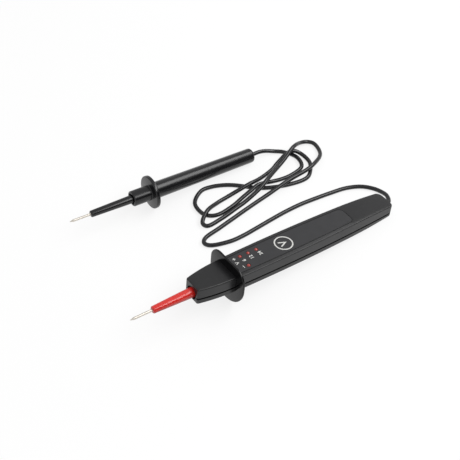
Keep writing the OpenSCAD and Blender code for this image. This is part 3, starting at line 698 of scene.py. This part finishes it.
def round_openings():
    """What both halves leave open along the axis: socket, collar's groove, pin's bore, bush's hole."""
    groove = NOSE_S + COLLAR_AT
    bush_groove = END_S - COLLAR_AT
    return [peg(NOSE_S - 2, NOSE_S + SOCKET_DEPTH_NOSE, SOCKET_R_NOSE),
            peg(NOSE_S, groove + 0.2, RED_BACK_R + SLACK),
            peg(groove, groove + COLLAR_T + SLACK, COLLAR_R + SLACK),
            peg(groove + COLLAR_T, CAVITY_S + 0.5, PIN_ROOT_R + SLACK),
            peg(bush_groove - 0.1, END_S + 2, BUSH_R + SLACK, above=CORD_EXIT_H),
            peg(bush_groove - BUSH_COLLAR_T - SLACK, bush_groove, BUSH_COLLAR_R + SLACK,
                above=CORD_EXIT_H),
            peg(CAVITY_END_S - 0.5, bush_groove - BUSH_COLLAR_T, CORD_D / 2 + SLACK, above=CORD_EXIT_H)]


# %% [markdown]
# Three screws pull the halves together. Each sits in a solid boss that stands in the hollow, so the
# bosses are joined to the shells before the screws' holes are cut. Only the lower half shows the
# heads, sunk in round holes.

# %% Hollow, bosses and openings of each half
SCREW_R, SCREW_HEAD_R, HEAD_SINK, BOSS_OUTER_R = 1.2, 2.2, 1.6, 2.7
BOARD_END_S = END_S - 38.4
SCREWS = [(BODY_S + 62, 0), (BOARD_END_S + 8, 5.4), (BOARD_END_S + 8, -5.4)]
upper_form = cut(upper_form, [hollow(lambda s: high(s) - WALL, lambda s: -PARTING_H - 1)])
upper_form = cut(upper_form, [post(-PARTING_H, high(s) - WALL / 2, BOSS_OUTER_R, s, w)
                              for s, w in SCREWS], "UNION")
upper_tools = [label_plate(LABEL_GAP, TOP_H - POCKET_DEPTH, TOP_H + 1)] + lamp_holes(TOP_H - 3)
upper_tools += round_openings()
upper_tools += [post(-PARTING_H - 1, high(s) - WALL, SCREW_R, s, w) for s, w in SCREWS]
finish_piece(cut(upper_form, upper_tools), "upper_half_shell", GRAINED_ABS, "tester", ["upper_shell"],
             TESTER, even=True)

lower_form = cut(lower_form, [hollow(lambda s: -PARTING_H + 1, lambda s: low(s) + WALL)])
lower_form = cut(lower_form, [post(low(s) + WALL / 2, -PARTING_H, BOSS_OUTER_R, s, w)
                              for s, w in SCREWS], "UNION")
lower_tools = round_openings()
lower_tools += [post(low(s) - 1, 0, SCREW_R + 2 * SLACK, s, w) for s, w in SCREWS]
lower_tools += [post(low(s) - 3, low(s) + HEAD_SINK, SCREW_HEAD_R + 2 * SLACK, s, w)
                for s, w in SCREWS]
finish_piece(cut(lower_form, lower_tools), "lower_half_shell", GRAINED_ABS, "tester", ["lower_shell"],
             TESTER, even=True)

# %% [markdown]
# ## The guard
# A flat ring on the neck stops the fingers from sliding onto the pin. Its outline is a rectangle with
# four rounded corners: the two lower ones are so large that they meet in a half circle. The ring is
# made by bridging that outline to the neck's, thickened, and its rim is rounded so that it catches a
# thin line of light.

# %% Guard
GUARD_T, GUARD_GAP, GUARD_R, GUARD_TOP, GUARD_CORNER_R = 1.6, 0.15, 19.9, 15.6, 10.0
GUARD_ROUNDING, OUTSIDE_NECK = 0.45, 14     # rounding of the rim, and a radius between neck and rim


def guard_ring():
    """The guard: a flat ring round the neck, thickened, with a rounded rim."""
    bm = bmesh.new()
    corners = [(-GUARD_R, -GUARD_R), (GUARD_R, -GUARD_R), (GUARD_R, GUARD_TOP), (-GUARD_R, GUARD_TOP)]
    outer = [bm.verts.new((GUARD_S, across, above)) for across, above in corners]
    bm.faces.new(outer)
    for pair, radius, steps in ((outer[:2], GUARD_R - 0.001, 24), (outer[2:], GUARD_CORNER_R, 14)):
        bmesh.ops.bevel(bm, geom=pair, offset=radius, offset_type="OFFSET", segments=steps, profile=0.5,
                        affect="VERTICES", material=-1)
    bmesh.ops.remove_doubles(bm, verts=bm.verts, dist=0.01)
    bmesh.ops.delete(bm, geom=bm.faces[:], context="FACES_ONLY")
    wide = NECK_W / 2 + GUARD_GAP
    half = [(wide - BOTTOM_BEVEL, -BOTTOM_H - GUARD_GAP), (wide, -BOTTOM_H + BOTTOM_BEVEL)]
    half += nose_section(wide, TOP_H + GUARD_GAP)[1:]
    inner = [bm.verts.new((GUARD_S, across, above)) for across, above in both_sides(half)]
    for pair in zip(inner, inner[1:] + inner[:1]):
        bm.edges.new(pair)
    bmesh.ops.bridge_loops(bm, edges=bm.edges[:])
    made = bmesh.ops.extrude_face_region(bm, geom=bm.faces[:], use_keep_orig=True)["geom"]
    moved = [part for part in made if isinstance(part, bmesh.types.BMVert)]
    bmesh.ops.translate(bm, verts=moved, vec=(GUARD_T, 0, 0))
    bmesh.ops.recalc_face_normals(bm, faces=bm.faces)
    rim = [edge for edge in bm.edges if len(edge.link_faces) == 2 and edge.calc_face_angle() > 1
           and max(v.co.yz.length for v in edge.verts) > OUTSIDE_NECK]
    bmesh.ops.bevel(bm, geom=rim, offset=GUARD_ROUNDING, offset_type="OFFSET", segments=4, profile=0.5,
                    affect="EDGES", material=-1, clamp_overlap=True)
    return bm


finish_piece(guard_ring(), "polished_finger_guard", POLISHED_ABS, "tester", ["finger_guard"],
             TESTER)

# %% [markdown]
# ## The label and its print
# A film with a satin face is glued into the pocket. It could be a part of the shell with another
# colour, but the thin dark gap round it is what tells the eye that it was laid in.

# %% Label film
def printed_film():
    """Polycarbonate film with a fine satin texture. It gives the eye a flatter grey than the shell."""
    material, tree, shader = new_material("satin_polycarbonate_film", IOR=1.58)
    place = add_node(tree, "TexCoord").outputs["Object"]
    texture = add_node(tree, "TexVoronoi", {"Vector": place, "Scale": per_mm(0.5)})
    handling = add_node(tree, "TexNoise", {"Vector": place, "Scale": per_mm(6), "Detail": 4.0})
    tint = add_node(tree, "Mix", {"Factor": handling.outputs[0], "A": linear("#1c1c1f"),
                                  "B": linear("#242427")}, data_type="RGBA")
    gloss = add_node(tree, "MapRange", {"Value": handling.outputs[0], "From Min": 0.3, "From Max": 0.7,
                                        "To Min": 0.36, "To Max": 0.46})
    bump = add_node(tree, "Bump", {"Height": texture.outputs[0], "Strength": 0.3, "Distance": 0.02 * MM})
    vary(tree, shader, tint, gloss, bump)
    return material


label = cut(label_plate(0.0, TOP_H - LABEL_T, TOP_H), lamp_holes(TOP_H - 1))
finish_piece(label, "face_film", printed_film(), "tester", ["face_label"], TESTER)

# %% [markdown]
# The marks are printed through a screen. They could be painted on by a texture, but a thin mesh of
# each stays sharp from close by: numbers for the lamps' voltages, signs for polarity, and a plain
# ring with the letter for volts.

# %% Print on the label
def screen_ink():
    """White screen ink. It gives the eye an off-white, thin in places, where the film shows through."""
    material, tree, shader = new_material("screen_printed_white_ink", Roughness=0.5, IOR=1.5)
    place = add_node(tree, "TexCoord").outputs["Object"]
    mesh_marks = add_node(tree, "TexNoise", {"Vector": place, "Scale": per_mm(0.6), "Detail": 4.0})
    thin = add_node(tree, "MapRange", {"Value": mesh_marks.outputs[0], "From Min": 0.2, "From Max": 0.5})
    tint = add_node(tree, "Mix", {"Factor": thin.outputs[0], "A": linear("#b4b4b2"),
                                  "B": linear("#dadad6")}, data_type="RGBA")
    vary(tree, shader, tint)
    return material


INK_T, INK_LIFT, STROKE_SPREAD = 0.02, 0.01, 0.1
EMBLEM_S, EMBLEM_V_S, EMBLEM_V_SIZE = BODY_S + 49.5, BODY_S + 49.3, 9.0
RING_INNER_R, RING_OUTER_R = 6.3, 7.3
# Each mark with its place along and across the tester, and its size
MARKS = [("6", 95.6, 0.4, 3.9), ("12", 102.3, 0.5, 3.9), ("24", 110.2, 0.6, 3.9),
         ("+", 89.9, 5.0, 4.6), ("V", 89.6, 0.5, 4.0), ("\u2013", 91.0, -4.8, 4.6)]


def printed_mark(words, along, across, size):
    """A mark as a thin closed mesh, reading across the tester with its top towards the pin."""
    text = bpy.data.curves.new("mark", "FONT")
    text.body, text.size, text.align_x, text.align_y = words, size, "CENTER", "CENTER"
    text.extrude, text.offset = INK_T / 2, STROKE_SPREAD
    text.resolution_u = 6
    holder = bpy.data.objects.new("mark", text)
    bpy.context.scene.collection.objects.link(holder)
    seen = holder.evaluated_get(bpy.context.evaluated_depsgraph_get())
    mesh = bpy.data.meshes.new_from_object(seen)
    mesh.transform(Matrix.Translation((along, across, TOP_H + INK_LIFT + INK_T / 2))
                   @ Matrix.Rotation(math.pi / 2, 4, "Z"))
    bpy.data.curves.remove(text)
    return mesh


def spun_ring(along, across, inner, outer):
    """A flat printed ring round an upright axis."""
    bm = bmesh.new()
    low_v, high_v = TOP_H + INK_LIFT, TOP_H + INK_LIFT + INK_T
    corners = [(inner, low_v), (outer, low_v), (outer, high_v), (inner, high_v)]
    wire = [bm.verts.new((along + radius, across, above)) for radius, above in corners]
    for pair in zip(wire, wire[1:] + wire[:1]):
        bm.edges.new(pair)
    bmesh.ops.spin(bm, geom=bm.verts[:] + bm.edges[:], axis=(0, 0, 1), cent=(along, across, 0), steps=64,
                   angle=2 * math.pi, use_merge=True)
    return bm


print_mesh = spun_ring(EMBLEM_S, 0, RING_INNER_R, RING_OUTER_R)
for words, along, across, size in MARKS + [("V", EMBLEM_V_S, 0, EMBLEM_V_SIZE)]:
    mark = printed_mark(words, along, across, size)
    print_mesh.from_mesh(mark)
    bpy.data.meshes.remove(mark)
finish_piece(print_mesh, "face_print", screen_ink(), "tester", [], TESTER, sharp=20)

# %% [markdown]
# ## The lamps
# Four light-emitting diodes stand with their domes just out of the film. Their resin is tinted, so
# when they are off they look like dull red beads. Each is spun with its axis along the tester, as the
# other turned pieces are, and then stood upright; its two legs reach down to the board.

# %% Lamps
def tinted_epoxy():
    """Cast epoxy with red dye. It gives the eye a deep red with a small sharp gleam on the dome."""
    material, tree, shader = new_material("tinted_epoxy_lamp", IOR=1.55, **{
        "Subsurface Weight": 0.35, "Subsurface Radius": (0.0015, 0.0003, 0.0002),
        "Subsurface Scale": 0.6, "Transmission Weight": 0.15})
    place = add_node(tree, "TexCoord").outputs["Object"]
    cloud = add_node(tree, "TexNoise", {"Vector": place, "Scale": per_mm(1.0), "Detail": 3.0})
    tint = add_node(tree, "Mix", {"Factor": cloud.outputs[0], "A": linear("#b0342d"),
                                  "B": linear("#c95f57")}, data_type="RGBA")
    gloss = add_node(tree, "MapRange", {"Value": cloud.outputs[0], "To Min": 0.12, "To Max": 0.3})
    vary(tree, shader, tint, gloss)
    return material


LED_FOOT, LED_TOP, LED_RIM, LED_RIM_H = 3.4, TOP_H + 0.6, 0.4, 0.8
LED_DOME_R = 0.96 * LED_R
LEG_R, LEG_SIDE, LEG_IN = 0.3, 0.9, 0.2
BOARD_TOP = -PIN_ROOT_R
EPOXY = tinted_epoxy()
upright = Matrix.Rotation(-math.pi / 2, 4, "Y")
for lamp in LAMPS:
    along, across = lamp_place(lamp)
    rim_top = LED_FOOT + LED_RIM_H
    bead = turned([(LED_FOOT, 0), (LED_FOOT, LED_R + LED_RIM), (rim_top, LED_R + LED_RIM),
                   (rim_top, LED_R), (LED_TOP, LED_R), (LED_TOP, 0)],
                  rounded=[(4, LED_DOME_R)], sides=32)
    for side in (-LEG_SIDE, LEG_SIDE):
        leg = peg(BOARD_TOP, LED_FOOT + LEG_IN, LEG_R, above=side, sides=12)
        leg_mesh = bpy.data.meshes.new("leg")
        leg.to_mesh(leg_mesh)
        bead.from_mesh(leg_mesh)
        bpy.data.meshes.remove(leg_mesh)
        leg.free()
    finish_piece(bead, lamp.replace("led", "lamp"), EPOXY, "tester", [lamp],
                 TESTER @ Matrix.Translation((along, across, 0)) @ upright)

# %% [markdown]
# ## What the case hides
# The board, its wired parts, the stripped cores and the screws keep the shapes of the CAD model. They
# are only seen if a shell is taken away, but each still gets the finish of the real thing.

# %% Finishes of the CAD pieces
def speckled(name, first, second, size_mm, rough, **surface):
    """A finish of two close colours in a cloudy mix, with a matching unevenness of gloss."""
    material, tree, shader = new_material(name, **surface)
    place = add_node(tree, "TexCoord").outputs["Object"]
    cloud = add_node(tree, "TexNoise", {"Vector": place, "Scale": per_mm(size_mm), "Detail": 5.0})
    tint = add_node(tree, "Mix", {"Factor": cloud.outputs[0], "A": linear(first), "B": linear(second)},
                    data_type="RGBA")
    gloss = add_node(tree, "MapRange", {"Value": cloud.outputs[0], "To Min": rough - 0.08,
                                        "To Max": rough + 0.08})
    bump = add_node(tree, "Bump", {"Height": cloud.outputs[0], "Strength": 0.3, "Distance": 0.03 * MM})
    vary(tree, shader, tint, gloss, bump)
    return material


# Solder mask over glass cloth, lacquered carbon film, glass over a silicon chip, zinc over cold-headed
# steel, drawn copper strands, and turned brass.
COPPER = speckled("drawn_copper_strands", "#b56a3f", "#d08a5a", 0.5, 0.3, Metallic=1.0)
KEPT = {
    "circuit_board": speckled("green_solder_mask", "#1f5a30", "#2c7340", 1.5, 0.35, IOR=1.5),
    "resistors": speckled("lacquered_carbon_film", "#c2ab78", "#d8c493", 0.8, 0.4, IOR=1.5),
    "diodes": speckled("glass_sealed_diode", "#a84e2c", "#c9744a", 0.8, 0.15, IOR=1.5),
    "shell_screws": speckled("zinc_plated_steel", "#a9adb3", "#c9ccd0", 0.7, 0.32, Metallic=1.0),
    "tester_core": COPPER, "probe_core": COPPER,
    "probe_solder_cup": speckled("turned_brass", "#b3934c", "#cdb06a", 0.6, 0.25, Metallic=1.0),
    "tester_cord_end": CORD_SHEATH, "probe_cord_end": CORD_SHEATH}
for node, material in KEPT.items():
    kept_mesh = frame["nodes"][node].data
    kept_mesh.materials.clear()
    kept_mesh.materials.append(material)
print("finished", len(KEPT), "CAD pieces")

# %% [markdown]
# ## Bench
# A white bench runs out of view on all sides. With light alone, a bench would need so much to look
# white that pale parts burn out. So it takes a middling share of the light, which keeps a shadow, and
# adds a glow that only the eye, metal and glass see.

# %% Bench
BENCH_GLOW, BENCH_SIZE = 0.8, 4
BENCH_DROP = 0.05 * MM   # just under the object, so that the two never share a surface


def white_bench():
    """Matt white laminate. The eye, metal and glass all see it at the same level, near white."""
    material = bpy.data.materials.new("matt_white_bench")
    material.use_nodes = True
    tree = material.node_tree
    tree.nodes.clear()
    rays = add_node(tree, "LightPath")
    sees = add_node(tree, "Math", {0: rays.outputs["Is Camera Ray"], 1: rays.outputs["Is Glossy Ray"]},
                    operation="MAXIMUM")
    sees = add_node(tree, "Math", {0: sees.outputs[0], 1: rays.outputs["Is Transmission Ray"]},
                    operation="MAXIMUM")
    lift = add_node(tree, "Math", {0: sees.outputs[0], 1: BENCH_GLOW}, operation="MULTIPLY")
    glow = add_node(tree, "Emission", {"Color": (1, 1, 1, 1), "Strength": lift.outputs[0]})
    matt = add_node(tree, "BsdfDiffuse", {"Color": linear("#7c7c7c")})
    both = add_node(tree, "AddShader", {0: matt.outputs[0], 1: glow.outputs[0]})
    add_node(tree, "OutputMaterial", {"Surface": both.outputs[0]})
    return material


bench_mesh = bmesh.new()
bmesh.ops.create_grid(bench_mesh, x_segments=1, y_segments=1, size=BENCH_SIZE)
bmesh.ops.translate(bench_mesh, verts=bench_mesh.verts, vec=(0, 0, -BENCH_DROP))
bench = as_object(bench_mesh, "bench")
bench.data.materials.append(white_bench())
print("the bench is", 2 * BENCH_SIZE, "m wide")

# %% [markdown]
# ## Room and light
# Black plastic is mostly seen by what it mirrors, so the room matters more than the lamp. It is an
# even pale grey. A soft box hangs to the right, and gives each round part its long highlight. Under it
# stands a black screen: it puts the dark line below the highlight, and without it the parts would look
# flat. Seen directly, the room is plain white.

# %% Room, black screen and soft box
def towards(azimuth, elevation):
    """The direction with an azimuth counted from +Y towards +X, and a height over the bench."""
    a, e = math.radians(azimuth), math.radians(elevation)
    return Vector((math.sin(a) * math.cos(e), math.cos(a) * math.cos(e), math.sin(e)))


ROOM_LEVEL, SCREEN_LEVEL = 0.66, 0.05
SCREEN = towards(152, 14)
SCREEN_EDGE, SCREEN_CORE = math.cos(math.radians(34)), math.cos(math.radians(16))
world = bpy.data.worlds.new("room")
bpy.context.scene.world = world
world.use_nodes = True
room = world.node_tree
room.nodes.clear()
rays = add_node(room, "LightPath")
direction = add_node(room, "TexCoord").outputs["Generated"]
nearness = add_node(room, "VectorMath", {0: direction, 1: SCREEN}, operation="DOT_PRODUCT")
seen_room = add_node(room, "MapRange", {"Value": nearness.outputs["Value"], "From Min": SCREEN_EDGE,
                                        "From Max": SCREEN_CORE, "To Min": ROOM_LEVEL,
                                        "To Max": SCREEN_LEVEL}, interpolation_type="SMOOTHSTEP")
level = add_node(room, "Mix", {"Factor": rays.outputs["Is Camera Ray"], "A": seen_room.outputs[0], "B": 1.0},
                 data_type="FLOAT")
sky = add_node(room, "Background", {"Color": (1, 1, 1, 1), "Strength": level.outputs["Result"]})
add_node(room, "OutputWorld", {"Surface": sky.outputs[0]})


def soft_box(name, place, size, radiance):
    """A soft light that faces the middle of the bench; its power follows from its brightness."""
    box = bpy.data.lights.new(name, "AREA")
    box.shape, box.size, box.size_y = "RECTANGLE", size[0], size[1]
    box.energy = radiance * math.pi * size[0] * size[1]
    holder = bpy.data.objects.new(name, box)
    holder.location = place
    holder.rotation_mode = "QUATERNION"
    holder.rotation_quaternion = (-place).to_track_quat("-Z", "Y")
    bpy.context.scene.collection.objects.link(holder)


BOX_DISTANCE, BOX_SIZE, BOX_RADIANCE = 1.5, (1.9, 0.55), 4.4
soft_box("soft_box_right", towards(125, 51) * BOX_DISTANCE, BOX_SIZE, BOX_RADIANCE)
print("lit by a room at level", ROOM_LEVEL, "and a soft box of", BOX_SIZE, "m")
bpy.context.scene.view_settings.view_transform = "Standard"
